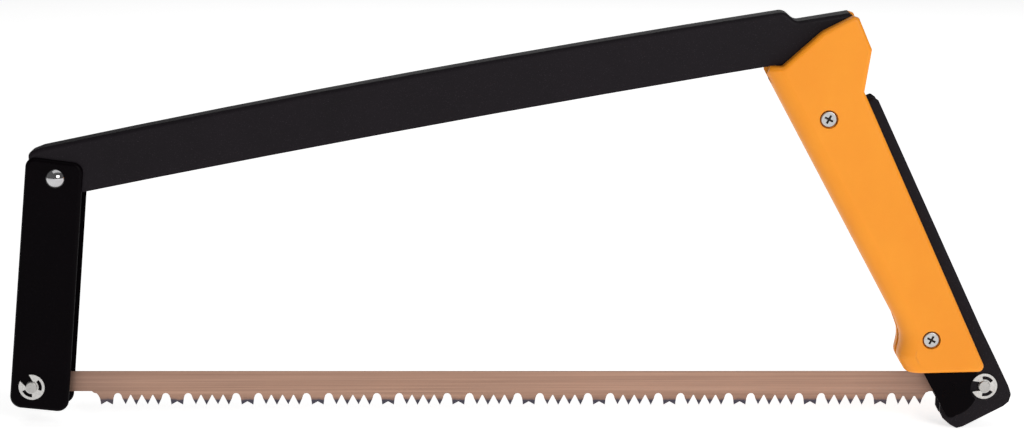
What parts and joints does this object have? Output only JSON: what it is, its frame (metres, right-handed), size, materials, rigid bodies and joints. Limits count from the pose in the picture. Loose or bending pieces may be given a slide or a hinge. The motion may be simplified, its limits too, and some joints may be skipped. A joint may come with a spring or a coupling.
{
  "type": "folding bow saw",
  "caption": "Folding bow saw with an arched channel spine, a pivoting front leg, a toothed blade, a two-part grip and a tension lever behind it.",
  "frame": {"origin": "centre of the bottom of the bounding box, the saw upright with its teeth down", "axes": "+X along the blade from the front leg to the handle, +Z from the teeth to the spine, -Y the near side"},
  "size_m": [0.5578, 0.033, 0.2329],
  "materials": {
    "black_paint": "fine grained satin powder coat",
    "blade_steel": "brushed, with dark hardened tooth tips",
    "grip_plastic": "moulded, satin",
    "rivet_chrome": "polished dome",
    "clip_steel": "satin nickel",
    "pin_steel": "satin",
    "screw_steel": "light zinc",
    "plain_steel": "plain"
  },
  "bodies": {
    "spine": {"spine": "black_paint", "front_pivot_rivet": "rivet_chrome", "front_pivot_spacer": "plain_steel", "front_pivot_washers": "plain_steel"},
    "front_leg": {"front_leg": "black_paint", "front_blade_pin": "pin_steel", "front_blade_clips": "clip_steel", "front_blade_spacers": "plain_steel"},
    "saw_blade": {"saw_blade": "blade_steel"},
    "handle": {"rear_arm_near_plate": "black_paint", "rear_arm_far_plate": "black_paint", "grip_near_half": "grip_plastic", "grip_far_half": "grip_plastic", "grip_screws": "screw_steel", "grip_screw_bushes": "plain_steel", "rear_pivot_rivets": "plain_steel", "rear_pivot_washers": "plain_steel", "frame_stop_studs": "black_paint", "head_spacer": "plain_steel"},
    "tension_lever": {"tension_lever": "black_paint", "lever_pivot_studs": "black_paint", "lever_pivot_washers": "plain_steel", "rear_blade_studs": "pin_steel", "rear_blade_clips": "clip_steel", "rear_blade_spacers": "plain_steel"}
  },
  "joints": [
    {"name": "frame_fold", "type": "hinge", "parent": "spine", "child": "handle", "pos_m": [0.17327, 0, 0.21779], "axis": [0, -1, 0], "range_deg": [0, 73]},
    {"name": "leg_fold", "type": "hinge", "parent": "spine", "child": "front_leg", "pos_m": [-0.24913, 0, 0.14189], "axis": [0, -1, 0], "range_deg": [0, 101.8]},
    {"name": "blade_pivot", "type": "hinge", "parent": "front_leg", "child": "saw_blade", "pos_m": [-0.26623, 0, 0.02429], "axis": [0, -1, 0], "range_deg": [-90.98, 0]},
    {"name": "lever_swing", "type": "hinge", "parent": "handle", "child": "tension_lever", "pos_m": [0.24387, 0, 0.02349], "axis": [0, 1, 0], "range_deg": [0, 65]}
  ],
  "couplings": [
    {"joint": "leg_fold", "follows": "frame_fold", "ratio": 1.3932},
    {"joint": "blade_pivot", "follows": "frame_fold", "ratio": -1.2449}
  ]
}
